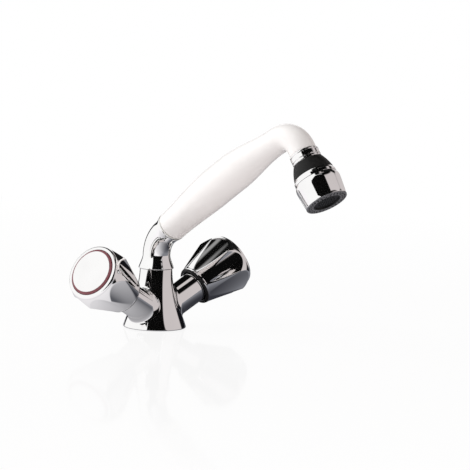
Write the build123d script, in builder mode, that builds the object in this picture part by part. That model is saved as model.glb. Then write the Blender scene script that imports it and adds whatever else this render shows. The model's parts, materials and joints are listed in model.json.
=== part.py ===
from build123d import *
import math
import os

# Two handle kitchen mixer with a pull-out hand spray, in millimetres and degrees.
# +Z is up and the deck is Z = 0, under the middle of the tap's foot. The hand spray
# points along -Y, the hot handle is at -X and the cold handle at +X.
# Lengths ending in _at run along the axis of the frame that the piece is turned on.

# Clearances
thread_gap = 0.05        # radial, between a thread's plain core and its hole
glide_gap = 0.05         # radial, where one piece turns or slides in another
face_gap = 0.05          # between flat faces that move past each other
loose_gap = 0.1          # radial, for pieces dropped into a seat

# Body
foot_r = 25.0            # radius on the deck
foot_edge = 0.6          # small bevel at the foot
body_h = 47.0            # deck to the seam under the elbow
neck_r = 13.0            # radius at the seam
flare_low_r = 22.6       # control radius of the flare above the foot
flare_low_z = 10.0
flare_high_z = 27.0      # the flare turns upright between here and the seam
hose_passage_r = 6.25    # hole for the spray hose, right through body and spigot

# Arms and valve chambers
arm_rise = 28.3          # elevation of the arms
arm_sweep = 6.4          # how far the arms lean towards the spout
arm_cross_z = 9.0        # height where the arm axes meet the body axis
arm_r = 12.4
arm_fillet = 3.0         # round the foot of each arm
arm_root_at = 8.0        # the arm starts inside the body
arm_end_at = 46.0
seat_at = 21.0           # flat seat at the bottom of the valve chamber
chamber_r = 10.25        # half-inch headwork thread, as a plain bore
seat_bore_r = 4.2
seat_bore_at = 12.0

# Holes in the underside
port_circle_r = 13.0     # inlets, outlet and stud hole all lie on this circle
port_r = 4.5             # M10x1 tapping
port_depth = 10.0
channel_r = 3.2          # water channel above each tapping
inlet_channel_top = 15.0
gallery_r = 2.6          # from each chamber to the mixed outlet
gallery_z = 18.0
gallery_start_x = 8.4    # off the arm axis, inside the chamber
gallery_start_lift = 1.2 # above the seat
stud_r = 3.4             # M8 tapping
stud_depth = 12.0
gasket_inner_r = 20.0
gasket_w = 3.0
gasket_t = 2.0

# Swivel
spigot_r = 8.35
spigot_h = 10.0
bush_wall = 0.85
bush_flange_r = 12.6
bush_flange_t = 0.8
swivel_half_turn = 70.0  # each way from straight ahead
stop_screw_at = 5.0      # above the seam
stop_screw_r = 2.5       # M5
stop_screw_socket_r = 1.4
stop_screw_socket_depth = 1.6
stop_tip_r = 1.5
stop_slot_depth = 1.2
stop_slot_gap = 0.2      # each side of the tip

# Elbow
skirt_r = 14.2
skirt_gap = 0.45         # the dark seam between body and elbow
skirt_low_r = 13.4       # control points of the skirt's flare
skirt_low_at = 3.0
skirt_high_at = 7.5
elbow_r = 11.0
elbow_rise = 0.5         # spigot top to the start of the bend
elbow_bend_r = 24.0
elbow_passage_r = 7.9
dock_rise = 37.5         # elevation of the hand spray in its dock
mouth_run = 9.0          # straight run from the bend to the mouth
mouth_r = 12.3
dock_bore_r = 9.6
dock_depth = 10.0
insert_wall = 0.8
insert_flange_r = 12.0
insert_flange_t = 0.8

# Hand spray: tail
tail_end_gap = 0.5       # tail to the bottom of the dock
grip_gap = 0.3           # grip to the insert's flange
tail_thread_r = 6.95     # M15x1 hose thread, as a plain bore
tail_thread_depth = 8.0
tail_flange_t = 2.6
tail_boss_r = 7.2
tail_boss_h = 12.0
tail_bore_r = 3.0
valve_r = 5.0
valve_h = 6.0
valve_wall = 1.0
valve_web = 1.0

# Hand spray: grip
grip_start_r = 12.3
belly_r = 15.3
grip_neck_r = 10.55
belly_rise = 58.0        # from the grip's lower end to its full girth
belly_run = 23.5         # length at full girth
belly_fall = 52.5        # from full girth to the neck
grip_wall = 2.0
grip_straight = 27.0     # the centreline is straight at first,
grip_bow = 7.8           # then bows down through this angle
grip_bow_run = 112.5      # over this length
grip_bend_r = 18.2       # and bends into the head
grip_neck_run = 3.8
grip_station = 11.0      # spacing of sections along the grip
bend_station = 13.0      # degrees between sections round the bend
tube_r = 4.5
tube_wall = 1.2
tube_socket = 5.0        # how far the water tube enters its sockets
head_tilt = 36.5         # spray head from vertical

# Hand spray: neck and head, measured down the head's axis from the grip's end
union_r = 7.6
union_flange_r = 8.4
union_flange_t = 2.0
union_end_at = 13.6
union_bore_r = 3.3
grip_web = 2.5           # end web of the grip, clamped by the collar
collar_r = 11.5
collar_h = 7.3
collar_groove_w = 0.8
collar_groove_depth = 0.8
collar_grooves_at = (1.4, 5.2)
shell_top_at = 7.6
shell_top_r = 11.4
shoulder_r = 15.9
shoulder_at = 19.8
bead_r = 16.3
bead_end_at = 22.5
shell_end_at = 23.5
groove_floor_r = 15.5
shell_wall = 1.9
drum_start_r = 16.5
drum_round_r = 17.4      # on the drum's rounded shoulder
drum_round_at = 25.4
drum_r = 17.8
drum_shoulder_at = 28.2
drum_end_r = 16.4
drum_end_at = 42.7
drum_inner_r = 15.3
drum_web_at = 25.0
drum_web_t = 3.0
core_socket_wall = 2.4
core_flange_r = 13.7
core_flange_at = 19.6
core_r = 10.0
core_flange_t = 2.5
core_end_at = 37.6
core_bore_r = 3.0
core_port_r = 1.3
core_port_at = 31.0
core_port_count = 4
core_seals_at = (26.5, 36.0)
seal_section_r = 0.5     # round seals
face_rim_r = 16.25
face_rim_t = 0.6
face_edge = 0.3
face_skirt_wall = 1.6
face_skirt_top_at = 34.4
face_spigot_h = 1.6
nozzle_r = 0.55
nozzle_row_r = (12.7, 14.4)
nozzle_row_count = (24, 32)
aerator_seat_r = 10.9
aerator_seat_at = 38.6
aerator_wall = 1.3
aerator_rise = 0.2       # above the face
aerator_lip = 1.0
mesh_t = 1.6
mesh_hole_r = 0.62
mesh_row_r = (2.1, 4.2, 6.3)
mesh_row_count = (6, 12, 18)

# Headworks, measured out along the arm from the body axis
seat_seal_t = 2.0
disc_r = 7.85
disc_t = 3.2
disc_port_r = 2.3
disc_port_off = 3.9
seat_seal_r = 7.6
driver_w = 2.6
driver_depth = 1.1       # into the slot of the moving disc
driver_rise = 0.6        # above the moving disc
spindle_foot_r = 5.5
spindle_foot_t = 2.5
headwork_bore_r = 8.0
headwork_skirt_r = 9.2
headwork_thread_at = 33.0
window_r = 2.2
headwork_seal_r = 12.2
headwork_seal_t = 1.2
hex_across = 22.0
hex_t = 4.0
headwork_neck_r = 7.2
headwork_neck_h = 5.6
spindle_r = 4.0
spindle_square = 6.4
spindle_end_at = 70.0
spindle_seal_at = 44.0

# Knobs
knob_mouth_at = 43.6
knob_bore_r = 13.3
knob_mouth_r = 14.9
knob_roll_len = 2.6      # rolled edge from the mouth to the root
knob_roll_bulge = 0.35
knob_root_r = 16.4
knob_rim_r = 25.6
knob_rim_at = 75.0
knob_shoulder_r = 22.4
knob_shoulder_at = 84.8
knob_face_at = 86.8
knob_face_r = 20.8
knob_cavity_r = 17.4
knob_cavity_straight = 8.5
knob_cavity_at = 70.0
knob_roof_at = 79.5
hub_r = 7.4
hub_gap = 1.2            # hub to the headwork's neck
flute_count = 8
flute_r = 22.0
flute_root_depth = 0.25  # below the knob's root radius
flute_rim_depth = 4.0    # below its rim radius
flute_turn = 24.0        # angle of the first flute
recess_depth = 3.0
index_ring_r = 19.0
index_ring_w = 2.4
index_ring_rise = 0.4    # at its outer edge
index_cap_rise = 1.5     # at its edge, level with the ring's inner edge
index_cap_dome = 0.7
knob_screw_r = 2.0       # M4
knob_screw_grip = 10.0
knob_screw_head_r = 3.6
knob_screw_head_t = 2.6
knob_screw_socket_r = 1.5
knob_screw_socket_depth = 1.5


def side_of(frame):
    """The plane that holds a frame's axis: its X is the radius and its Y the axis."""
    return Plane(frame.origin, x_dir=frame.x_dir, z_dir=-frame.y_dir)


def axis_of(frame):
    """The axis that a frame's pieces are turned about."""
    return Axis(frame.origin, frame.z_dir)


def spoke(frame, angle, radius, height, lean=0.0):
    """A plane off a frame's axis, X outward, Z leaning outward from the axis by lean."""
    turned, tipped = math.radians(angle), math.radians(lean)
    out = frame.x_dir * math.cos(turned) + frame.y_dir * math.sin(turned)
    spot = frame.origin + out * radius + frame.z_dir * height
    out_tipped = out * math.cos(tipped) - frame.z_dir * math.sin(tipped)
    up_tipped = frame.z_dir * math.cos(tipped) + out * math.sin(tipped)
    return Plane(spot, x_dir=out_tipped, z_dir=up_tipped)


def turn(frame, *outline, mode=Mode.ADD):
    """Turn an outline of (radius, height) points about a frame's axis."""
    with BuildSketch(side_of(frame)) as profile:
        with BuildLine():
            Polyline(*outline, close=True)
        make_face()
    revolve(profile.sketch, axis=axis_of(frame), mode=mode)


def ring(frame, inner_r, outer_r, low, high, mode=Mode.ADD):
    """A plain ring, or a plain cylinder where inner_r is 0."""
    turn(frame, (inner_r, low), (outer_r, low), (outer_r, high), (inner_r, high), mode=mode)


def round_seal(frame, centre_r, height):
    """A seal of round section."""
    with BuildSketch(side_of(frame)) as section:
        with Locations((centre_r, height)):
            Circle(seal_section_r)
    revolve(section.sketch, axis=axis_of(frame))


def save(piece, node):
    """Label a finished piece and write it."""
    piece.part.label = node
    export_step(piece.part, f"parts/{node}.step")


os.makedirs("parts", exist_ok=True)
gasket_outer_r = gasket_inner_r + gasket_w
upright = Plane.XY

# The arms' frames: Z runs out along the arm and X is level, towards the back.
arms = {}
for side, sign in (("hot", -1), ("cold", 1)):
    level = math.cos(math.radians(arm_rise))
    out = Vector(
        sign * level * math.cos(math.radians(arm_sweep)),
        -level * math.sin(math.radians(arm_sweep)),
        math.sin(math.radians(arm_rise)),
    )
    back = Vector(sign * math.sin(math.radians(arm_sweep)), math.cos(math.radians(arm_sweep)), 0)
    arms[side] = Plane((0, 0, arm_cross_z), x_dir=back, z_dir=out)

# ---------------------------------------------------------------- body
spigot_top = body_h + spigot_h
slot_half_w = stop_tip_r + stop_slot_gap
slot_floor_r = spigot_r - stop_slot_depth
slot_reach = swivel_half_turn + math.degrees(math.asin(slot_half_w / slot_floor_r))
slot_start = upright.rotated((0, 0, 90 - slot_reach))
stop_screw_z = body_h + stop_screw_at

with BuildPart() as body:
    with BuildSketch(Plane.XZ):
        with BuildLine():
            foot = Polyline((0, 0), (foot_r - foot_edge, 0), (foot_r, foot_edge))
            flare = Bezier(
                foot @ 1,
                (flare_low_r, flare_low_z),
                (neck_r, flare_high_z),
                (neck_r, body_h),
            )
            Polyline(flare @ 1, (spigot_r, body_h), (spigot_r, spigot_top), (0, spigot_top), foot @ 0)
        make_face()
    revolve(axis=Axis.Z)
    smooth_edges = body.edges()
    for arm in arms.values():
        ring(arm, 0, arm_r, arm_root_at, arm_end_at)
    arm_feet = [
        edge
        for edge in body.edges() - smooth_edges
        if edge.geom_type not in (GeomType.CIRCLE, GeomType.LINE)
    ]
    fillet(arm_feet, radius=arm_fillet)
    for arm in arms.values():
        ring(arm, 0, chamber_r, seat_at, arm_end_at, mode=Mode.SUBTRACT)
        ring(arm, 0, seat_bore_r, seat_bore_at, seat_at, mode=Mode.SUBTRACT)
        inlet = Vector(arm.z_dir.X, arm.z_dir.Y, 0).normalized() * port_circle_r
        inlet_frame = Plane(inlet)
        ring(inlet_frame, 0, port_r, 0, port_depth, mode=Mode.SUBTRACT)
        ring(inlet_frame, 0, channel_r, port_depth, inlet_channel_top, mode=Mode.SUBTRACT)
        start = arm.from_local_coords(Vector(gallery_start_x, 0, seat_at + gallery_start_lift))
        gallery_from = Vector(start.X, start.Y, gallery_z)
        gallery_to = Vector(0, port_circle_r, gallery_z)
        gallery = Plane(gallery_from, z_dir=gallery_to - gallery_from)
        ring(gallery, 0, gallery_r, 0, (gallery_to - gallery_from).length, mode=Mode.SUBTRACT)
    outlet_frame = Plane((0, port_circle_r, 0))
    ring(outlet_frame, 0, port_r, 0, port_depth, mode=Mode.SUBTRACT)
    ring(outlet_frame, 0, channel_r, port_depth, gallery_z + gallery_r, mode=Mode.SUBTRACT)
    ring(Plane((0, -port_circle_r, 0)), 0, stud_r, 0, stud_depth, mode=Mode.SUBTRACT)
    ring(upright, 0, hose_passage_r, 0, spigot_top, mode=Mode.SUBTRACT)
    ring(upright, gasket_inner_r, gasket_outer_r, 0, gasket_t, mode=Mode.SUBTRACT)
    with BuildSketch(side_of(slot_start)) as slot:
        with Locations(((slot_floor_r + spigot_r) / 2, stop_screw_z)):
            Rectangle(stop_slot_depth, 2 * slot_half_w)
    revolve(slot.sketch, axis=Axis.Z, revolution_arc=2 * slot_reach, mode=Mode.SUBTRACT)
save(body, "body")

with BuildPart() as deck_gasket:
    ring(
        upright,
        gasket_inner_r + loose_gap,
        gasket_outer_r - loose_gap,
        0,
        gasket_t - face_gap,
    )
save(deck_gasket, "deck_gasket")

# ---------------------------------------------------------------- elbow
bush_inner_r = spigot_r + glide_gap
bush_outer_r = bush_inner_r + bush_wall
elbow_bore_r = bush_outer_r + thread_gap
bush_seat_z = body_h + face_gap
elbow_seat_z = bush_seat_z + bush_flange_t
skirt_z = body_h + skirt_gap
elbow_bore_top = spigot_top + face_gap
bend_z = elbow_bore_top + elbow_rise
dock_inner_r = dock_bore_r - thread_gap - insert_wall
stop_screw_frame = Plane((0, 0, stop_screw_z), x_dir=(1, 0, 0), z_dir=(0, 1, 0))
stop_screw_inner = elbow_bore_r - thread_gap
stop_screw_outer = elbow_r + stop_screw_socket_depth / 2

with BuildLine(Plane.YZ) as elbow_route:
    elbow_bend = JernArc((0, bend_z), (0, 1), elbow_bend_r, 90 - dock_rise)
    mouth = Line(elbow_bend @ 1, elbow_bend @ 1 + (elbow_bend % 1) * mouth_run)

dock = Plane(mouth @ 1, x_dir=(1, 0, 0), z_dir=mouth % 1)

with BuildPart() as elbow:
    with BuildSketch(Plane.XZ):
        with BuildLine():
            skirt = Bezier(
                (skirt_r, skirt_z),
                (skirt_low_r, skirt_z + skirt_low_at),
                (elbow_r, skirt_z + skirt_high_at),
                (elbow_r, bend_z),
            )
            Polyline(skirt @ 1, (0, bend_z), (0, skirt_z), skirt @ 0)
        make_face()
    revolve(axis=Axis.Z)
    with BuildSketch(Plane.XY.offset(bend_z)):
        Circle(elbow_r)
    sweep(path=elbow_route.line)
    with BuildSketch(side_of(dock)):
        with BuildLine():
            lip = Bezier(
                (elbow_r, -mouth_run),
                (elbow_r, -mouth_run / 2),
                (mouth_r, -mouth_run / 4),
                (mouth_r, 0),
            )
            Polyline(lip @ 1, (0, 0), (0, -mouth_run), lip @ 0)
        make_face()
    revolve(axis=axis_of(dock))
    ring(upright, 0, bush_flange_r + loose_gap, skirt_z, elbow_seat_z, mode=Mode.SUBTRACT)
    ring(upright, 0, elbow_bore_r, elbow_seat_z, elbow_bore_top, mode=Mode.SUBTRACT)
    ring(upright, 0, elbow_passage_r, elbow_bore_top, bend_z, mode=Mode.SUBTRACT)
    with BuildSketch(Plane.XY.offset(bend_z)):
        Circle(elbow_passage_r)
    sweep(path=elbow_route.line, mode=Mode.SUBTRACT)
    ring(dock, 0, dock_bore_r, -dock_depth, 0, mode=Mode.SUBTRACT)
    ring(stop_screw_frame, 0, stop_screw_r + thread_gap, 0, skirt_r, mode=Mode.SUBTRACT)
save(elbow, "elbow")

with BuildPart() as swivel_bush:
    ring(upright, bush_inner_r, bush_outer_r, bush_seat_z, spigot_top)
    ring(upright, bush_inner_r, bush_flange_r, bush_seat_z, elbow_seat_z)
    ring(stop_screw_frame, 0, stop_tip_r + loose_gap, 0, skirt_r, mode=Mode.SUBTRACT)
save(swivel_bush, "swivel_bush")

with BuildPart() as stop_screw:
    ring(stop_screw_frame, 0, stop_screw_r, stop_screw_inner, stop_screw_outer)
    ring(stop_screw_frame, 0, stop_tip_r, slot_floor_r + loose_gap, stop_screw_inner)
    with BuildSketch(stop_screw_frame.offset(stop_screw_outer)):
        RegularPolygon(stop_screw_socket_r, 6)
    extrude(amount=-stop_screw_socket_depth, mode=Mode.SUBTRACT)
save(stop_screw, "stop_screw")

with BuildPart() as dock_insert:
    ring(dock, dock_inner_r, dock_bore_r - thread_gap, -dock_depth, insert_flange_t)
    ring(dock, dock_inner_r, insert_flange_r, 0, insert_flange_t)
save(dock_insert, "dock_insert")

# ---------------------------------------------------------------- hand spray
grip_at = insert_flange_t + grip_gap
grip_bore_r = grip_start_r - grip_wall
tail_r = dock_inner_r - glide_gap
tail_end_at = tail_end_gap - dock_depth
tail_flange_end = grip_at + tail_flange_t
tail_boss_end = tail_flange_end + tail_boss_h
tube_start = tail_boss_end - tube_socket
valve_at = tail_end_at + tail_thread_depth
union_top_at = -grip_web - union_flange_t
neck_turn = dock_rise - grip_bow + 90 - head_tilt

with BuildLine(Plane.YZ) as grip_route:
    straight = Line(
        dock.from_local_coords(Vector(0, 0, grip_at)),
        dock.from_local_coords(Vector(0, 0, grip_straight)),
    )
    bow = JernArc(straight @ 1, straight % 1, grip_bow_run / math.radians(grip_bow), grip_bow)
    bend = JernArc(bow @ 1, bow % 1, grip_bend_r, neck_turn)
    run_out = Line(bend @ 1, bend @ 1 + (bend % 1) * grip_neck_run)

grip_line = grip_route.wires()[0]
neck = Plane(run_out @ 1, x_dir=(1, 0, 0), z_dir=run_out % 1)


def ease(share):
    """Rises smoothly from 0 to 1 as share does."""
    share = min(max(share, 0.0), 1.0)
    return share * share * (3 - 2 * share)


def grip_radius(distance):
    """The grip's radius at a distance along its centreline."""
    swell = grip_start_r + (belly_r - grip_start_r) * ease(distance / belly_rise)
    fall = ease((distance - belly_rise - belly_run) / belly_fall)
    return swell + (grip_neck_r - belly_r) * fall


def grip_stations(end):
    """Distances along the centreline: even along the barrel, closer round the bend."""
    barrel = straight.length + bow.length
    count = round(barrel / grip_station)
    spots = [barrel * step / count for step in range(count)]
    turns = round(neck_turn / bend_station)
    spots += [barrel + bend.length * step / turns for step in range(turns + 1)]
    return spots + [end]


def grip_sections(end, inset):
    """Circles across the centreline, smaller than the grip by inset."""
    sections = []
    for distance in grip_stations(end):
        centre = grip_line.position_at(distance, PositionMode.LENGTH)
        along = grip_line.tangent_at(distance, PositionMode.LENGTH)
        with BuildSketch(Plane(centre, x_dir=(1, 0, 0), z_dir=along)) as section:
            Circle(grip_radius(distance) - inset)
        sections.append(section.sketch)
    return sections


with BuildPart() as grip_shell:
    loft(grip_sections(grip_line.length, 0))
    loft(grip_sections(grip_line.length - grip_web, grip_wall), mode=Mode.SUBTRACT)
    ring(dock, 0, grip_bore_r, grip_at, tail_flange_end, mode=Mode.SUBTRACT)
    ring(neck, 0, union_r + thread_gap, -2 * grip_web, 0, mode=Mode.SUBTRACT)
save(grip_shell, "grip_shell")

with BuildPart() as hose_connector:
    ring(dock, 0, tail_r, tail_end_at, grip_at)
    ring(dock, 0, grip_bore_r - loose_gap, grip_at, tail_flange_end)
    ring(dock, 0, tail_boss_r, tail_flange_end, tail_boss_end)
    ring(dock, 0, tail_thread_r, tail_end_at, valve_at, mode=Mode.SUBTRACT)
    ring(dock, 0, valve_r + thread_gap, valve_at, valve_at + valve_h, mode=Mode.SUBTRACT)
    ring(dock, 0, tail_bore_r, valve_at + valve_h, tube_start, mode=Mode.SUBTRACT)
    ring(dock, 0, tube_r + thread_gap, tube_start, tail_boss_end, mode=Mode.SUBTRACT)
save(hose_connector, "hose_connector")

with BuildPart() as non_return_valve:
    poppet_r = valve_r - 2 * valve_wall
    ring(dock, valve_r - valve_wall, valve_r, valve_at, valve_at + valve_h)
    ring(dock, 0, poppet_r, valve_at + valve_web, valve_at + 2 * valve_web)
    ring(dock, 0, valve_web, valve_at + valve_web, valve_at + valve_h)
    with BuildSketch(dock.offset(valve_at + valve_h - valve_web)):
        Rectangle(2 * valve_r - valve_wall, valve_web)
        Rectangle(valve_web, 2 * valve_r - valve_wall)
    extrude(amount=valve_web)
save(non_return_valve, "non_return_valve")

with BuildLine(Plane.YZ) as tube_route:
    tube_low = Line(dock.from_local_coords(Vector(0, 0, tube_start + face_gap)), straight @ 1)
    tube_bow = JernArc(tube_low @ 1, tube_low % 1, bow.radius, grip_bow)
    tube_bend = JernArc(tube_bow @ 1, tube_bow % 1, grip_bend_r, neck_turn)
    tube_high = Line(
        tube_bend @ 1,
        neck.from_local_coords(Vector(0, 0, union_top_at + tube_socket - face_gap)),
    )

with BuildPart() as water_tube:
    with BuildSketch(Plane(tube_low @ 0, x_dir=(1, 0, 0), z_dir=tube_low % 0)):
        Circle(tube_r)
        Circle(tube_r - tube_wall, mode=Mode.SUBTRACT)
    sweep(path=tube_route.line)
save(water_tube, "water_tube")

with BuildPart() as neck_union:
    ring(neck, 0, union_flange_r, union_top_at, -grip_web)
    ring(neck, 0, union_r, -grip_web, union_end_at)
    ring(neck, 0, tube_r + thread_gap, union_top_at, union_top_at + tube_socket, mode=Mode.SUBTRACT)
    ring(neck, 0, union_bore_r, union_top_at + tube_socket, union_end_at, mode=Mode.SUBTRACT)
save(neck_union, "neck_union")

with BuildPart() as neck_collar:
    collar_end = shell_top_at - face_gap
    collar_start = collar_end - collar_h
    edge = collar_groove_w / 2
    turn(
        neck,
        (union_r + thread_gap, collar_start),
        (collar_r - edge, collar_start),
        (collar_r, collar_start + edge),
        (collar_r, collar_end - edge),
        (collar_r - edge, collar_end),
        (union_r + thread_gap, collar_end),
    )
    for groove_at in collar_grooves_at:
        groove_start = collar_start + groove_at
        ring(
            neck,
            collar_r - collar_groove_depth,
            2 * collar_r,
            groove_start,
            groove_start + collar_groove_w,
            mode=Mode.SUBTRACT,
        )
save(neck_collar, "neck_collar")

# ---------------------------------------------------------------- spray head
socket_r = union_r + thread_gap
socket_outer_r = socket_r + core_socket_wall
union_seal_t = 1.2
socket_floor = union_end_at + union_seal_t
core_top_at = shell_top_at + shell_wall + face_gap
shell_inner_r = core_flange_r + loose_gap
core_flange_end = core_flange_at + core_flange_t
core_turn_r = core_r + glide_gap

with BuildPart() as head_shell:
    with BuildSketch(side_of(neck)):
        with BuildLine():
            dome = ThreePointArc(
                (shell_top_r, shell_top_at),
                ((shell_top_r + shoulder_r) / 2 + 0.5, (shell_top_at + shoulder_at) / 2 - 0.3),
                (shoulder_r, shoulder_at),
            )
            Polyline(
                (shoulder_r, shoulder_at),
                (bead_r, shoulder_at + 0.4),
                (bead_r, bead_end_at),
                (groove_floor_r, bead_end_at + 0.2),
                (groove_floor_r, shell_end_at),
                (shell_inner_r, shell_end_at),
                (shell_inner_r, shoulder_at),
                (socket_outer_r + loose_gap, core_top_at - face_gap),
                (socket_r, core_top_at - face_gap),
                (socket_r, shell_top_at),
                (shell_top_r, shell_top_at),
            )
        make_face()
    revolve(axis=axis_of(neck))
save(head_shell, "head_shell")

with BuildPart() as union_seal:
    ring(neck, union_bore_r, union_r - loose_gap, union_end_at, socket_floor)
save(union_seal, "union_seal")

with BuildPart() as head_core:
    ring(neck, 0, socket_outer_r, core_top_at, core_flange_at)
    ring(neck, 0, core_flange_r, core_flange_at, core_flange_end)
    ring(neck, 0, core_r, core_flange_end, core_end_at)
    ring(neck, 0, socket_r, core_top_at, socket_floor, mode=Mode.SUBTRACT)
    ring(neck, 0, core_bore_r, socket_floor, core_end_at, mode=Mode.SUBTRACT)
    groove_floor = core_r - 2 * seal_section_r - glide_gap
    groove_half_w = seal_section_r + glide_gap
    for seal_at in core_seals_at:
        ring(
            neck,
            groove_floor,
            2 * core_r,
            seal_at - groove_half_w,
            seal_at + groove_half_w,
            mode=Mode.SUBTRACT,
        )
    for step in range(core_port_count):
        port = spoke(neck, step * 360 / core_port_count, 0, core_port_at, lean=90)
        ring(port, 0, core_port_r, 0, 2 * core_r, mode=Mode.SUBTRACT)
save(head_core, "head_core")

for place, seal_at in zip(("upper", "lower"), core_seals_at):
    with BuildPart() as core_seal:
        round_seal(neck, core_r - seal_section_r, seal_at)
    save(core_seal, f"{place}_core_seal")

with BuildPart() as selector_drum:
    drum_start = shell_end_at + face_gap
    web_end = drum_web_at + drum_web_t
    with BuildSketch(side_of(neck)):
        with BuildLine():
            ThreePointArc(
                (drum_start_r, drum_start),
                (drum_round_r, drum_round_at),
                (drum_r, drum_shoulder_at),
            )
            Polyline(
                (drum_r, drum_shoulder_at),
                (drum_end_r, drum_end_at),
                (drum_inner_r, drum_end_at),
                (drum_inner_r, web_end),
                (core_turn_r, web_end),
                (core_turn_r, drum_web_at),
                (drum_inner_r, drum_web_at),
                (drum_inner_r, drum_start),
                (drum_start_r, drum_start),
            )
        make_face()
    revolve(axis=axis_of(neck))
save(selector_drum, "selector_drum")

with BuildPart() as spray_face:
    face_at = drum_end_at + face_rim_t
    face_skirt_r = core_turn_r + face_skirt_wall
    turn(
        neck,
        (core_turn_r, face_skirt_top_at),
        (face_skirt_r, face_skirt_top_at),
        (face_skirt_r, drum_end_at - face_spigot_h),
        (drum_inner_r - thread_gap, drum_end_at - face_spigot_h),
        (drum_inner_r - thread_gap, drum_end_at),
        (face_rim_r, drum_end_at),
        (face_rim_r, face_at - face_edge),
        (face_rim_r - face_edge, face_at),
        (aerator_seat_r, face_at),
        (aerator_seat_r, aerator_seat_at),
        (core_turn_r, aerator_seat_at),
    )
    with BuildSketch(neck.offset(face_at)):
        for row_r, row_count in zip(nozzle_row_r, nozzle_row_count):
            with PolarLocations(row_r, row_count):
                Circle(nozzle_r)
    extrude(amount=-face_rim_t - face_spigot_h, mode=Mode.SUBTRACT)
save(spray_face, "spray_face")

with BuildPart() as aerator_housing:
    housing_r = aerator_seat_r - thread_gap
    housing_end = face_at + aerator_rise
    ring(neck, housing_r - aerator_wall, housing_r, aerator_seat_at, housing_end)
    lip_r = housing_r - aerator_wall - aerator_lip
    ring(neck, lip_r, housing_r, housing_end - aerator_lip, housing_end)
save(aerator_housing, "aerator_housing")

with BuildPart() as aerator_mesh:
    mesh_r = housing_r - aerator_wall - loose_gap
    mesh_end = housing_end - aerator_lip
    with BuildSketch(neck.offset(mesh_end - mesh_t)):
        Circle(mesh_r)
        Circle(mesh_hole_r, mode=Mode.SUBTRACT)
        for row_r, row_count in zip(mesh_row_r, mesh_row_count):
            with PolarLocations(row_r, row_count):
                Circle(mesh_hole_r, mode=Mode.SUBTRACT)
    extrude(amount=mesh_t)
save(aerator_mesh, "aerator_mesh")

# ---------------------------------------------------------------- headworks and knobs
fixed_disc_at = seat_at + seat_seal_t
moving_disc_at = fixed_disc_at + disc_t + face_gap
driver_at = moving_disc_at + disc_t - driver_depth
foot_at = moving_disc_at + disc_t + driver_rise
headwork_roof = foot_at + spindle_foot_t + face_gap
headwork_r = chamber_r - thread_gap
hex_at = arm_end_at + headwork_seal_t
headwork_neck_at = hex_at + hex_t
headwork_end = headwork_neck_at + headwork_neck_h
spindle_bore_r = spindle_r + glide_gap
seal_floor_r = spindle_r - 2 * seal_section_r - glide_gap
recess_floor = knob_face_at - recess_depth
screw_seat = recess_floor - knob_screw_head_t - loose_gap
screw_end = spindle_end_at - knob_screw_grip
knob_root_at = knob_mouth_at + knob_roll_len
hub_at = headwork_end + hub_gap
flute_floor_root = knob_root_r - flute_root_depth
flute_floor_rim = knob_rim_r - flute_rim_depth
flute_run = knob_rim_at - knob_root_at
flute_lean = math.degrees(math.atan2(flute_floor_rim - flute_floor_root, flute_run))

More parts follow.
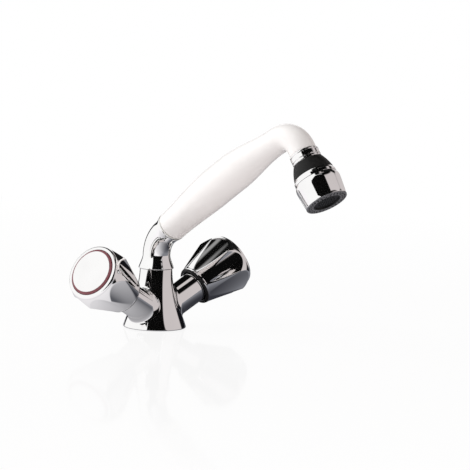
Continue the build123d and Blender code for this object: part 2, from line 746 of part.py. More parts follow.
for side, arm in arms.items():
    with BuildPart() as seat_seal:
        ring(arm, seat_bore_r, seat_seal_r, seat_at, fixed_disc_at)
    save(seat_seal, f"{side}_seat_seal")

    with BuildPart() as fixed_disc:
        with BuildSketch(arm.offset(fixed_disc_at)):
            Circle(disc_r)
            with PolarLocations(disc_port_off, 2):
                Circle(disc_port_r, mode=Mode.SUBTRACT)
        extrude(amount=disc_t)
    save(fixed_disc, f"{side}_fixed_disc")

    with BuildPart() as moving_disc:
        with BuildSketch(arm.offset(moving_disc_at)):
            Circle(disc_r)
            with PolarLocations(disc_port_off, 2, start_angle=90):
                Circle(disc_port_r, mode=Mode.SUBTRACT)
        extrude(amount=disc_t)
        with BuildSketch(arm.offset(driver_at - face_gap)):
            Rectangle(2 * disc_r, driver_w + 2 * thread_gap)
        extrude(amount=disc_t, mode=Mode.SUBTRACT)
    save(moving_disc, f"{side}_moving_disc")

    with BuildPart() as spindle:
        with BuildSketch(arm.offset(driver_at)):
            Circle(disc_r)
            Rectangle(2 * disc_r, driver_w, mode=Mode.INTERSECT)
        extrude(amount=foot_at - driver_at)
        ring(arm, 0, spindle_foot_r, foot_at, foot_at + spindle_foot_t)
        ring(arm, 0, spindle_r, foot_at + spindle_foot_t, headwork_end)
        with BuildSketch(arm.offset(headwork_end)):
            Circle(spindle_r)
            Rectangle(spindle_square, spindle_square, mode=Mode.INTERSECT)
        extrude(amount=spindle_end_at - headwork_end)
        ring(
            arm,
            seal_floor_r,
            2 * spindle_r,
            spindle_seal_at - groove_half_w,
            spindle_seal_at + groove_half_w,
            mode=Mode.SUBTRACT,
        )
        ring(
            arm,
            0,
            knob_screw_r + thread_gap,
            screw_end - knob_screw_head_t,
            spindle_end_at,
            mode=Mode.SUBTRACT,
        )
    save(spindle, f"{side}_spindle")

    with BuildPart() as spindle_seal:
        round_seal(arm, spindle_r - seal_section_r, spindle_seal_at)
    save(spindle_seal, f"{side}_spindle_seal")

    with BuildPart() as headwork:
        ring(arm, 0, headwork_skirt_r, seat_at + face_gap, headwork_thread_at)
        ring(arm, 0, headwork_r, headwork_thread_at, hex_at)
        with BuildSketch(arm.offset(hex_at)):
            RegularPolygon(hex_across / 2, 6, major_radius=False)
        extrude(amount=hex_t)
        ring(arm, 0, headwork_neck_r, headwork_neck_at, headwork_end)
        ring(arm, 0, headwork_bore_r, seat_at + face_gap, headwork_roof, mode=Mode.SUBTRACT)
        ring(arm, 0, spindle_bore_r, headwork_roof, headwork_end, mode=Mode.SUBTRACT)
        window = spoke(arm, 0, 0, moving_disc_at + disc_t, lean=90)
        ring(window, 0, window_r, -2 * headwork_r, 2 * headwork_r, mode=Mode.SUBTRACT)
    save(headwork, f"{side}_headwork")

    with BuildPart() as headwork_seal:
        ring(arm, headwork_r + thread_gap, headwork_seal_r, arm_end_at, hex_at)
    save(headwork_seal, f"{side}_headwork_seal")

    with BuildPart() as knob:
        with BuildSketch(side_of(arm)):
            with BuildLine():
                mouth_face = Line((knob_bore_r, knob_mouth_at), (knob_mouth_r, knob_mouth_at))
                roll = ThreePointArc(
                    mouth_face @ 1,
                    (
                        (knob_mouth_r + knob_root_r) / 2 + knob_roll_bulge,
                        (knob_mouth_at + knob_root_at) / 2 - knob_roll_bulge,
                    ),
                    (knob_root_r, knob_root_at),
                )
                skirt = Line(roll @ 1, (knob_rim_r, knob_rim_at))
                shoulder = ThreePointArc(
                    skirt @ 1,
                    ((knob_rim_r + knob_shoulder_r) / 2 + 0.45, (knob_rim_at + knob_shoulder_at) / 2),
                    (knob_shoulder_r, knob_shoulder_at),
                )
                brow = ThreePointArc(
                    shoulder @ 1,
                    ((knob_shoulder_r + knob_face_r) / 2 + 0.35, (knob_shoulder_at + knob_face_at) / 2 + 0.35),
                    (knob_face_r, knob_face_at),
                )
                Polyline(
                    brow @ 1,
                    (index_ring_r + thread_gap, knob_face_at),
                    (index_ring_r + thread_gap, recess_floor),
                    (0, recess_floor),
                    (0, hub_at),
                    (hub_r, hub_at),
                    (hub_r, knob_roof_at),
                    (knob_cavity_r, knob_roof_at),
                    (knob_cavity_r, knob_cavity_at),
                    (knob_bore_r, knob_mouth_at + knob_cavity_straight),
                    mouth_face @ 0,
                )
            make_face()
        revolve(axis=axis_of(arm))
        for step in range(flute_count):
            angle = flute_turn + step * 360 / flute_count
            floor = spoke(arm, angle, flute_floor_root, knob_root_at, lean=flute_lean)
            with BuildSketch(floor):
                with Locations((flute_r, 0)):
                    Circle(flute_r)
            extrude(amount=2 * flute_run, mode=Mode.SUBTRACT)
        with BuildSketch(arm.offset(hub_at)):
            Circle(spindle_r + loose_gap)
            Rectangle(
                spindle_square + 2 * loose_gap,
                spindle_square + 2 * loose_gap,
                mode=Mode.INTERSECT,
            )
        extrude(amount=spindle_end_at + loose_gap - hub_at, mode=Mode.SUBTRACT)
        ring(arm, 0, knob_screw_r + loose_gap, spindle_end_at, recess_floor, mode=Mode.SUBTRACT)
        ring(arm, 0, knob_screw_head_r + loose_gap, screw_seat, recess_floor, mode=Mode.SUBTRACT)
    save(knob, f"{side}_knob")

    with BuildPart() as knob_screw:
        ring(arm, 0, knob_screw_r, screw_end, screw_seat)
        ring(arm, 0, knob_screw_head_r, screw_seat, screw_seat + knob_screw_head_t)
        with BuildSketch(arm.offset(screw_seat + knob_screw_head_t)):
            RegularPolygon(knob_screw_socket_r, 6)
        extrude(amount=-knob_screw_socket_depth, mode=Mode.SUBTRACT)
    save(knob_screw, f"{side}_knob_screw")

    cap_at = knob_face_at + index_cap_rise
    with BuildPart() as index_ring:
        with BuildSketch(side_of(arm)):
            Polygon(
                (index_ring_r - index_ring_w, recess_floor),
                (index_ring_r, recess_floor),
                (index_ring_r, knob_face_at + index_ring_rise),
                (index_ring_r - index_ring_w, cap_at),
                align=None,
            )
        revolve(axis=axis_of(arm))
    save(index_ring, f"{side}_index_ring")

    with BuildPart() as index_cap:
        cap_r = index_ring_r - index_ring_w - thread_gap
        with BuildSketch(side_of(arm)):
            with BuildLine():
                dome_r = (cap_r**2 + index_cap_dome**2) / (2 * index_cap_dome)
                dome_arc = -math.degrees(math.asin(cap_r / dome_r))
                cap_dome = JernArc((0, cap_at + index_cap_dome), (1, 0), dome_r, dome_arc)
                Polyline(cap_dome @ 1, (cap_r, recess_floor), (0, recess_floor), cap_dome @ 0)
            make_face()
        revolve(axis=axis_of(arm))
    save(index_cap, f"{side}_index_cap")
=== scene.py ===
"""The looks of the two handle kitchen faucet, built round the frame of its CAD part.

Outlines and sizes are in millimetres, as in the CAD source. Finished meshes, the lamp and
the cards round the object are in metres. Angles are in degrees until rad() turns them.
"""
import json
import math

import bmesh
import bpy
import numpy as np
from mathutils import Matrix, Vector


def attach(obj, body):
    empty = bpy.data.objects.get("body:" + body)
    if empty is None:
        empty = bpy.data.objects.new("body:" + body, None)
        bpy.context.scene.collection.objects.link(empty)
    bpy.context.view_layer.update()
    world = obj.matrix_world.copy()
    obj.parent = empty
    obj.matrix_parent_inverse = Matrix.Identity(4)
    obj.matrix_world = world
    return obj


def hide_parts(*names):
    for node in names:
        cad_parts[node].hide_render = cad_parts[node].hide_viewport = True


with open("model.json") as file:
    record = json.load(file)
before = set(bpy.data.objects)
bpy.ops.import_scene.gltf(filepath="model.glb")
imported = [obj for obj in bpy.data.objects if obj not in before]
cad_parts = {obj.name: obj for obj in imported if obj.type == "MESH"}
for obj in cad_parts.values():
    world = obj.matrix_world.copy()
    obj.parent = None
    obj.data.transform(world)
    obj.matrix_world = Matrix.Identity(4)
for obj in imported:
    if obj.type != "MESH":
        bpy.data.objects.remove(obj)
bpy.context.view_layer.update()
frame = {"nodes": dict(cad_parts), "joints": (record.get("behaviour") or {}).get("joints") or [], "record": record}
MM = 0.001
rad = math.radians


def placed(name, data):
    """A new object in the scene."""
    ob = bpy.data.objects.new(name, data)
    bpy.context.scene.collection.objects.link(ob)
    return ob


# ------------------------------------------------------------------ frames
joints = {j["name"]: j for j in frame["joints"]}
axes = {name: Vector(joint["axis"]).normalized() for name, joint in joints.items()}
arm_cross_z = 9.0


def frame_at(origin, z_dir, x_dir=(1, 0, 0)):
    """A frame with its origin in mm, as a 4x4 in metres."""
    z = Vector(z_dir).normalized()
    x = Vector(x_dir)
    x = (x - z * x.dot(z)).normalized()
    m = Matrix((x, z.cross(x), z)).transposed().to_4x4()
    m.translation = Vector(origin) * MM
    return m


upright = frame_at((0, 0, 0), (0, 0, 1))
dock_axis = axes["spray_pull"]
dock_mm = Vector((0, -16.53, 82.07))
neck = frame_at(Vector(joints["spray_select"]["pos_m"]) / MM, axes["spray_select"])
arm_axes = {side: axes[f"{side}_turn"] for side in ("hot", "cold")}
arms = {}
for side, z in arm_axes.items():
    level = Vector((0, 0, 1)).cross(z)
    arms[side] = frame_at((0, 0, arm_cross_z), z, level * (1 if level.y > 0 else -1))

# ------------------------------------------------------------------ camera
azimuth, elevation, distance = rad(-43.32), rad(8.94), 2195.9
yaw, pitch, camera_roll = rad(-1.62), rad(1.95), rad(1.67)
focal_px, photo_px, sensor = 2752.93, 470.0, 36.0
eye = distance * Vector(
    (
        math.sin(azimuth) * math.cos(elevation),
        -math.cos(azimuth) * math.cos(elevation),
        math.sin(elevation),
    )
)


def turned(a, b, angle):
    """Two square directions, both turned from the first towards the second."""
    c, s = math.cos(angle), math.sin(angle)
    return a * c + b * s, b * c - a * s


ahead = -eye.normalized()
right = ahead.cross(Vector((0, 0, 1))).normalized()
over = right.cross(ahead)
ahead, right = turned(ahead, right, -yaw)
ahead, over = turned(ahead, over, pitch)
right, over = turned(right, over, camera_roll)
camera_data = bpy.data.cameras.new("camera")
camera_data.sensor_width = sensor
camera_data.lens = focal_px * sensor / photo_px
camera_data.clip_start, camera_data.clip_end = 0.05, 30.0
camera = placed("camera", camera_data)
pose = Matrix((right, over, -ahead)).transposed().to_4x4()
pose.translation = eye * MM
camera.matrix_world = pose
bpy.context.scene.camera = camera
bpy.context.scene.view_settings.view_transform = "Standard"


# ------------------------------------------------------------------ outlines
def rounded(*outline, steps=4):
    """Outline points (radius, height, fillet) in mm, with an arc and two guard points
    at each corner that has a fillet, so that the flats beside it stay flat."""
    pts = []
    for i, point in enumerate(outline):
        p = Vector(point[:2])
        fillet = point[2] if len(point) > 2 else 0.0
        if not fillet or i in (0, len(outline) - 1):
            pts.append(p)
            continue
        back = Vector(outline[i - 1][:2]) - p
        on = Vector(outline[i + 1][:2]) - p
        half = back.angle(on) / 2
        cut = min(fillet / math.tan(half), 0.42 * back.length, 0.42 * on.length)
        back_n, on_n = back.normalized(), on.normalized()
        a, b = p + back_n * cut, p + on_n * cut
        guard = min(0.25 * cut, 0.05 * back.length, 0.05 * on.length)
        centre = p + (back_n + on_n).normalized() * (cut / math.cos(half))
        pts.append(a + back_n * guard)
        start = a - centre
        turn = start.angle_signed(b - centre)
        for s in range(steps + 1):
            angle = -turn * s / steps
            c, n = math.cos(angle), math.sin(angle)
            pts.append(centre + Vector((start.x * c - start.y * n, start.x * n + start.y * c)))
        pts.append(b + on_n * guard)
    return [(max(p.x, 0.0), p.y) for p in pts]


def bezier(p0, p1, p2, p3, steps=28):
    """Points along a cubic curve, its ends included."""
    pts = []
    for s in range(steps + 1):
        t = s / steps
        w = ((1 - t) ** 3, 3 * t * (1 - t) ** 2, 3 * t * t * (1 - t), t**3)
        pts.append(tuple(sum(k * p[i] for k, p in zip(w, (p0, p1, p2, p3))) for i in (0, 1)))
    return pts


def arc3(p0, p1, p2, steps):
    """Points along the circle arc through three points."""
    ax, ay, bx, by, cx, cy = *p0, *p1, *p2
    a_sq, b_sq, c_sq = ax**2 + ay**2, bx**2 + by**2, cx**2 + cy**2
    d = 2 * (ax * (by - cy) + bx * (cy - ay) + cx * (ay - by))
    ux = (a_sq * (by - cy) + b_sq * (cy - ay) + c_sq * (ay - by)) / d
    uy = (a_sq * (cx - bx) + b_sq * (ax - cx) + c_sq * (bx - ax)) / d
    a0, a2 = math.atan2(ay - uy, ax - ux), math.atan2(cy - uy, cx - ux)
    sweep = (a2 - a0 + math.pi) % (2 * math.pi) - math.pi
    r = math.hypot(ax - ux, ay - uy)
    return [
        (ux + r * math.cos(a0 + sweep * s / steps), uy + r * math.sin(a0 + sweep * s / steps))
        for s in range(steps + 1)
    ]


def bulged(a, b, out, steps, up=0.0):
    """The arc between two points whose middle is moved outwards and up."""
    return arc3(a, ((a[0] + b[0]) / 2 + out, (a[1] + b[1]) / 2 + up), b, steps)


# ------------------------------------------------------------------ meshes
def angles_of(count):
    """Angles all the way round, evenly spaced."""
    return [2 * math.pi * k / count for k in range(count)]


def circle(at, r, h, angles):
    """Points in metres round a frame's Z, at a radius and height in mm."""
    return [at @ (Vector((r * math.cos(a), r * math.sin(a), h)) * MM) for a in angles]


def rings_mesh(name, rings, loop=False):
    """A mesh through rings of points in metres. A ring of one point is a pole."""
    verts, faces, starts = [], [], []
    for ring in rings:
        starts.append((len(verts), len(ring)))
        verts += [tuple(p) for p in ring]
    pairs = list(zip(starts, starts[1:])) + ([(starts[-1], starts[0])] if loop else [])
    for (a, na), (b, nb) in pairs:
        for i in range(max(na, nb)):
            j = (i + 1) % max(na, nb)
            if na == 1 and nb == 1:
                continue
            if na == 1:
                faces.append((a, b + j, b + i))
            elif nb == 1:
                faces.append((a + i, a + j, b))
            else:
                faces.append((a + i, a + j, b + j, b + i))
    me = bpy.data.meshes.new(name)
    me.from_pydata(verts, [], faces)
    me.validate()
    bm = bmesh.new()
    bm.from_mesh(me)
    bmesh.ops.recalc_face_normals(bm, faces=bm.faces)
    bm.to_mesh(me)
    bm.free()
    me.shade_smooth()
    return me


def spun(name, at, outline, turns=144, loop=True):
    """A mesh turned about a frame's Z from an outline in mm. A loop is closed on itself."""
    angles = angles_of(turns)
    rings = [
        [at @ (Vector((0, 0, h)) * MM)] if r < 1e-6 else circle(at, r, h, angles)
        for r, h in outline
    ]
    return rings_mesh(name, rings, loop=loop)


def piece(name, me, body, slot, stands_for=(), sharp=32.0):
    """A finished piece that rides on a body and takes a slot's material."""
    ob = placed(name, me)
    me.set_sharp_from_angle(angle=rad(sharp))
    me.materials.clear()
    me.materials.append(finishes[slot])
    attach(ob, body)
    if stands_for:
        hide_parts(*stands_for)


def cutter(name, at, r, low, high, turns=96):
    """A plain cylinder between two heights, to take out of another object."""
    outline = [(0, low), (r, low), (r, high), (0, high)]
    return placed(name, spun(name, at, outline, turns, loop=False))


def combine(ob, other, operation):
    """Joins another object to this one or cuts it out, and uses it up."""
    mod = ob.modifiers.new("combine", "BOOLEAN")
    mod.operation, mod.solver, mod.object = operation, "EXACT", other
    bpy.context.view_layer.update()
    made = bpy.data.meshes.new_from_object(ob.evaluated_get(bpy.context.evaluated_depsgraph_get()))
    ob.modifiers.clear()
    ob.data = made
    bpy.data.objects.remove(other)


def mesh_of(ob):
    """The mesh of an object that was only needed for cutting."""
    me = ob.data
    bpy.data.objects.remove(ob)
    me.shade_smooth()
    return me


def merged(name, meshes):
    """One mesh of several."""
    bm = bmesh.new()
    for me in meshes:
        bm.from_mesh(me)
        bpy.data.meshes.remove(me)
    made = bpy.data.meshes.new(name)
    bm.to_mesh(made)
    bm.free()
    made.shade_smooth()
    return made


# ------------------------------------------------------------------ shader nodes
def shader(name):
    """A new material, its tree and its shader."""
    mat = bpy.data.materials.new(name)
    mat.use_nodes = True
    tree = mat.node_tree
    return mat, tree, tree.nodes["Principled BSDF"]


def noise(tree, scale, detail=3.0):
    """Noise in the object's own metres."""
    coords = tree.nodes.new("ShaderNodeTexCoord")
    tex = tree.nodes.new("ShaderNodeTexNoise")
    tex.inputs["Scale"].default_value = scale
    tex.inputs["Detail"].default_value = detail
    tex.inputs["Roughness"].default_value = 0.5
    tree.links.new(coords.outputs["Object"], tex.inputs["Vector"])
    return tex.outputs["Fac"]


def spread(tree, source, low, high, to_low=0.0, to_high=1.0, soft=False):
    """A value's range stretched over another range, and held at its ends."""
    ramp = tree.nodes.new("ShaderNodeMapRange")
    if soft:
        ramp.interpolation_type = "SMOOTHSTEP"
    ramp.inputs["From Min"].default_value = low
    ramp.inputs["From Max"].default_value = high
    ramp.inputs["To Min"].default_value = to_low
    ramp.inputs["To Max"].default_value = to_high
    tree.links.new(source, ramp.inputs["Value"])
    return ramp.outputs["Result"]


def blended(tree, share, a, b):
    """Two colours mixed by a share. Each is a colour or a socket that gives one."""
    mix = tree.nodes.new("ShaderNodeMix")
    mix.data_type = "RGBA"
    for socket, colour in (("A", a), ("B", b)):
        if isinstance(colour, tuple):
            mix.inputs[socket].default_value = (*colour, 1)
        else:
            tree.links.new(colour, mix.inputs[socket])
    tree.links.new(share, mix.inputs["Factor"])
    return mix.outputs["Result"]


def layered(tree, share, under, top):
    """Two surfaces or two backgrounds mixed by a share."""
    mix = tree.nodes.new("ShaderNodeMixShader")
    tree.links.new(share, mix.inputs["Fac"])
    tree.links.new(under, mix.inputs[1])
    tree.links.new(top, mix.inputs[2])
    return mix.outputs[0]


def maths(tree, operation, a, b=None):
    """The result of one sum on numbers or sockets."""
    made = tree.nodes.new("ShaderNodeMath")
    made.operation = operation
    for socket, v in zip(made.inputs, (a, b)):
        if isinstance(v, (int, float)):
            socket.default_value = v
        elif v is not None:
            tree.links.new(v, socket)
    return made.outputs["Value"]


def measured(tree, operation, source, other=(0, 0, 0)):
    """A vector's length, its distance from a point or its share of a direction."""
    made = tree.nodes.new("ShaderNodeVectorMath")
    made.operation = operation
    made.inputs[1].default_value = tuple(other)
    tree.links.new(source, made.inputs[0])
    return made.outputs["Value"]


def glowing(tree, colour=(1, 1, 1)):
    """Plain light of a colour, or of a socket that gives one."""
    glow = tree.nodes.new("ShaderNodeEmission")
    if isinstance(colour, tuple):
        glow.inputs["Color"].default_value = (*colour, 1)
    else:
        tree.links.new(colour, glow.inputs["Color"])
    return glow.outputs[0]


# ------------------------------------------------------------------ finishes
def finish_of(name, low, high, rough, scale, bump=0.15, depth=0.00002, metal=0.0, **sockets):
    """A surface whose colour and roughness wander a little, with a fine grain."""
    mat, tree, bsdf = shader(name)
    cloud = noise(tree, scale)
    grain = noise(tree, scale * 12, detail=4.0)
    colour = blended(tree, spread(tree, cloud, 0.35, 0.65), low, high)
    tree.links.new(colour, bsdf.inputs["Base Color"])
    tree.links.new(spread(tree, cloud, 0.3, 0.7, *rough), bsdf.inputs["Roughness"])
    relief = tree.nodes.new("ShaderNodeBump")
    relief.inputs["Strength"].default_value = bump
    relief.inputs["Distance"].default_value = depth
    tree.links.new(grain, relief.inputs["Height"])
    tree.links.new(relief.outputs["Normal"], bsdf.inputs["Normal"])
    bsdf.inputs["Metallic"].default_value = metal
    for key, value in sockets.items():
        bsdf.inputs[key].default_value = value
    return mat


# Two colours, the range of roughness and the scale of the noise. Some also say how
# strong and how deep the grain is, and the last number is 1 for bare metal.
looks = {
    "chrome": ((0.93, 0.925, 0.92), (0.96, 0.955, 0.95), (0.02, 0.05), 60, 0.02, 0.00001, 1.0),
    "grip_white": ((0.87, 0.86, 0.85), (0.88, 0.87, 0.86), (0.24, 0.27), 60, 0.02, 0.00001),
    "ring_red": ((0.15, 0.024, 0.036), (0.18, 0.028, 0.042), (0.25, 0.35), 300),
    "ring_blue": ((0.03, 0.05, 0.22), (0.035, 0.06, 0.27), (0.25, 0.35), 300),
    "face_grey": ((0.10, 0.105, 0.115), (0.14, 0.145, 0.155), (0.4, 0.55), 350),
    "aerator_black": ((0.004, 0.004, 0.004), (0.009, 0.009, 0.009), (0.4, 0.6), 350),
    "brass": ((0.62, 0.44, 0.18), (0.70, 0.52, 0.24), (0.22, 0.36), 180, 0.2, 0.00002, 1.0),
    "steel": ((0.50, 0.50, 0.51), (0.58, 0.58, 0.59), (0.28, 0.4), 240, 0.25, 0.00002, 1.0),
    "ceramic": ((0.80, 0.79, 0.75), (0.86, 0.85, 0.82), (0.12, 0.2), 200),
    "rubber": ((0.006, 0.006, 0.006), (0.012, 0.012, 0.012), (0.5, 0.65), 300, 0.3),
    "acetal": ((0.66, 0.66, 0.62), (0.72, 0.72, 0.68), (0.35, 0.5), 200),
    "hose_plastic": ((0.30, 0.32, 0.35), (0.36, 0.38, 0.41), (0.4, 0.5), 150),
}
shine = {
    "grip_white": {"Coat Weight": 0.25, "Coat Roughness": 0.12},
    "ring_red": {"Coat Weight": 0.5},
    "ring_blue": {"Coat Weight": 0.3},
    "rubber": {"Specular IOR Level": 0.3},
}
finishes = {name: finish_of(name, *look, **shine.get(name, {})) for name, look in looks.items()}
slots = {s["node"]: s["material_slot"] for s in frame["record"]["subparts"]}
for name, ob in frame["nodes"].items():
    ob.data.materials.clear()
    ob.data.materials.append(finishes[slots[name]])

# ------------------------------------------------------------------ foot and arms
passage_r, port_circle_r = 6.25, 13.0
flare = (25, 0.7), (22.6, 10), (13, 27), (13, 46.6)
under_foot = rounded(
    (passage_r, 0, 0), (20, 0, 0.2), (20, 2, 0.2), (23, 2, 0.2), (23, 0, 0.2), (24.5, 0, 0.2)
)
spigot = rounded(
    (13, 46.6, 0), (13, 47, 0.2), (8.35, 47, 0.2), (8.35, 57, 0.4), (passage_r, 57, 0.4),
    (passage_r, 0, 0.2), (10, 0, 0),
)[2:-2]
body_me = spun("tap_body", upright, under_foot + [(25.0, 0.5)] + bezier(*flare, 60) + spigot, 240)
body_ob = placed("tap_body", body_me)


def blended_arm(at, r=12.4, end=46.0, fillet=3.0, turns=180, steps=9):
    """An arm that meets the body in a round fillet, as a closed mesh."""
    start, start_r, fillet_turn = 9.0, 6.0, 86
    skin_r, skin_h = (np.array(v) for v in zip(*bezier(*flare, 200)))
    slope = np.gradient(skin_r, skin_h)

    def point(a, rho, s):
        return at @ (Vector((rho * math.cos(a), rho * math.sin(a), s)) * MM)

    def off_body(a, rho, s):
        """Distance in mm from the body's skin to a point of the arm."""
        p = point(a, rho, s) / MM
        lean = float(np.interp(p.z, skin_h, slope))
        return (math.hypot(p.x, p.y) - float(np.interp(p.z, skin_h, skin_r))) / math.hypot(1, lean)

    def foot(a, rho, gap):
        """Height along the arm at which a line of it is a gap away from the body."""
        low, high = 4.0, 44.0
        for _ in range(30):
            mid = (low + high) / 2
            low, high = (mid, high) if off_body(a, rho, mid) < gap else (low, mid)
        return low

    angles = angles_of(turns)
    lines = [(r - 0.15, None, end), (r, None, end - 0.15), (r, None, 36.0)]
    for k in range(steps + 1):
        turn = rad(fillet_turn) * k / steps
        lines.append((r + fillet * (1 - math.cos(turn)), fillet * (1 - math.sin(turn)), None))
    lines += [(r + fillet * 1.02, -0.3, None), (start_r, None, start)]
    rings = [[at @ (Vector((0, 0, end)) * MM)]]
    rings += [
        [point(a, rho, s if gap is None else foot(a, rho, gap)) for a in angles]
        for rho, gap, s in lines
    ]
    return placed("arm", rings_mesh("arm", rings + [[at @ (Vector((0, 0, start)) * MM)]]))


for at in arms.values():
    combine(body_ob, blended_arm(at), "UNION")
for at in arms.values():
    combine(body_ob, cutter("chamber", at, 10.25, 21, 50), "DIFFERENCE")
ports = [(0, port_circle_r, 4.5, 10), (0, -port_circle_r, 3.4, 12)]
for z in arm_axes.values():
    level = Vector((z.x, z.y, 0)).normalized() * port_circle_r
    ports.append((level.x, level.y, 4.5, 10))
for x, y, r, depth in ports:
    combine(body_ob, cutter("port", frame_at((x, y, 0), (0, 0, 1)), r, -1, depth), "DIFFERENCE")
piece("tap_body", mesh_of(body_ob), "tap", "chrome", ("body",), 24)


# ------------------------------------------------------------------ paths of elbow and grip
def path(start, heading, *runs, step):
    """Stations (point, heading, length so far) along straight runs and bends in the YZ
    plane, in mm, and their whole length. A run is ("line", length) or
    ("bend", radius, degrees), and the heading at the start is in degrees."""
    (y, z), angle = start, rad(heading)
    out, total = [], 0.0
    for kind, *size in runs:
        length = size[0] if kind == "line" else size[0] * rad(size[1])
        count = max(2, round(length / step))
        is_last = (kind, *size) == runs[-1]
        for k in range(count + is_last):
            s = length * k / count
            if kind == "line":
                p = (y + math.cos(angle) * s, z + math.sin(angle) * s)
                a = angle
            else:
                a = angle + s / size[0]
                p = (
                    y + size[0] * (math.sin(a) - math.sin(angle)),
                    z - size[0] * (math.cos(a) - math.cos(angle)),
                )
            out.append((p, a, total + s))
        if kind == "line":
            y, z = y + math.cos(angle) * length, z + math.sin(angle) * length
        else:
            end = angle + length / size[0]
            y += size[0] * (math.sin(end) - math.sin(angle))
            z -= size[0] * (math.cos(end) - math.cos(angle))
            angle = end
        total += length
    return out, total


def ring_at(station, r, turns=128):
    """A ring square to the path at a station."""
    (y, z), a, _ = station
    side_x, side_n = Vector((1, 0, 0)), Vector((0, -math.sin(a), math.cos(a)))
    centre = Vector((0, y, z))
    return [
        (centre + (side_x * math.cos(t) + side_n * math.sin(t)) * r) * MM for t in angles_of(turns)
    ]


def offset(station, d):
    """A station moved along its own heading."""
    (y, z), a, s = station
    return (y + math.cos(a) * d, z + math.sin(a) * d), a, s


# ------------------------------------------------------------------ elbow
skirt_z, bend_z, bend_r, dock_rise, mouth_run = 47.45, 57.55, 24.0, 37.5, 9.0
elbow_r, mouth_r, passage_elbow_r, dock_bore_r, dock_depth = 11.0, 12.3, 7.9, 9.6, 10.0
upwards = rad(90)
rise = ((0, skirt_z), 90, ("line", bend_z - skirt_z), ("bend", bend_r, 90 - dock_rise))
stations, elbow_len = path(*rise, ("line", mouth_run), step=0.5)
inner, _ = path(*rise, ("line", mouth_run - dock_depth + 1.0), step=2.0)
skirt = [(z - skirt_z, r) for r, z in bezier(
    (14.2, skirt_z), (13.4, skirt_z + 3), (elbow_r, skirt_z + 7.5), (elbow_r, bend_z))]
lip = [(elbow_len - mouth_run + h, r) for r, h in bezier(
    (elbow_r, 0), (elbow_r, mouth_run / 2), (mouth_r, mouth_run * 0.75), (mouth_r, mouth_run))]
run, girth = zip(*skirt, *lip)
first, last = stations[0], stations[-1]
outside = [ring_at(station, float(np.interp(station[2], run, girth))) for station in stations]
outside[0] = ring_at(first, 14.0)
outside.insert(1, ring_at(((0, skirt_z + 0.25), upwards, 0), 14.12))
outside[-1] = ring_at(last, 12.1)
inside = [ring_at(last, 9.8), ring_at(offset(last, -0.2), dock_bore_r)]
inside.append(ring_at(offset(last, -dock_depth), dock_bore_r))
inside += [ring_at(station, passage_elbow_r) for station in reversed(inner[5:-6])]
spigot_seat = (57.05, passage_elbow_r), (57.05, 9.3), (47.85, 9.3), (47.85, 12.7), (skirt_z, 12.7)
inside += [ring_at(((0, z), upwards, 0), r) for z, r in spigot_seat]
elbow_ob = placed("elbow_shell", rings_mesh("elbow_shell", outside + inside, loop=True))
screw_hole = cutter("screw_hole", frame_at((0, 0, 52), (0, 1, 0)), 2.55, 5, 16, 64)
combine(elbow_ob, screw_hole, "DIFFERENCE")
piece("elbow_shell", mesh_of(elbow_ob), "elbow", "chrome", ("elbow",), 35)

# ------------------------------------------------------------------ grip
grip_at, straight, bow, bow_run = 1.1, 27.0, 7.8, 112.5
neck_bend_r, neck_run, tilt = 18.2, 3.8, 36.5
grip_start_r, belly_r, grip_neck_r, grip_wall = 12.3, 15.3, 10.55, 2.0
belly_rise, belly_end, belly_fall = 58.0, 81.5, 52.5
grip_turns = 160
start = (dock_mm * MM + dock_axis * grip_at * MM) / MM
stations, _ = path(
    (start.y, start.z), 180 - dock_rise,
    ("line", straight - grip_at),
    ("bend", bow_run / rad(bow), bow),
    ("bend", neck_bend_r, dock_rise - bow + 90 - tilt),
    ("line", neck_run),
    step=1.2,
)


def ease(t):
    """A soft step from 0 to 1, held at its ends."""
    t = min(max(t, 0.0), 1.0)
    return t * t * (3 - 2 * t)


def grip_r(s):
    """Radius of the grip at a length along it."""
    swell = grip_start_r + (belly_r - grip_start_r) * ease(s / belly_rise)
    return swell + (grip_neck_r - belly_r) * ease((s - belly_end) / belly_fall)


front, rear = stations[0], stations[-1]
lower_end = ((9, 10.3), (0.4, 10.3), (0, 10.7), (0, 11.6), (0.15, 12.05), (0.55, grip_start_r))
neck_end = ((-0.3, grip_neck_r), (-0.06, 10.47), (0, 10.25), (0, 7.65), (-2.5, 7.65))
rings = [ring_at(offset(front, d), r, grip_turns) for d, r in lower_end]
rings += [ring_at(station, grip_r(station[2]), grip_turns) for station in stations[1:-1]]
rings += [ring_at(offset(rear, d), r, grip_turns) for d, r in neck_end]
rings += [
    ring_at(station, grip_r(station[2]) - grip_wall, grip_turns)
    for station in reversed(stations[9:-4])
]
piece("grip", rings_mesh("grip", rings, loop=True), "hand_spray", "grip_white", ("grip_shell",), 40)

# ------------------------------------------------------------------ spray head
face_at = 43.25
collar = rounded(
    (7.65, 0.25, 0), (11.5, 0.25, 0.3),
    (11.5, 1.3, 0.15), (10.7, 1.35, 0.1), (10.7, 2.0, 0.1), (11.5, 2.05, 0.15),
    (11.5, 5.4, 0.15), (10.7, 5.45, 0.1), (10.7, 6.1, 0.1), (11.5, 6.15, 0.15),
    (11.5, 7.55, 0.3), (7.65, 7.55, 0),
)
piece("collar", spun("collar", neck, collar), "hand_spray", "chrome", ("neck_collar",))

dome = bulged((11.4, 7.6), (15.9, 19.8), 0.5, 24, -0.3)
shell = (
    rounded((7.65, 9.5, 0), (7.65, 7.6, 0), (11.1, 7.6, 0), (11.4, 7.65, 0))[:-1]
    + dome[1:-1]
    + rounded(
        dome[-2], (15.9, 19.8, 0.05), (16.75, 21.3, 0.1), (16.85, 23.55, 0.1), (13.8, 23.6, 0),
        (13.8, 19.8, 0), (10.4, 9.55, 0), (7.65, 9.5, 0)
    )[1:-1]
)
piece("head_shell_skin", spun("head_shell_skin", neck, shell, 168), "hand_spray", "chrome",
      ("head_shell",))

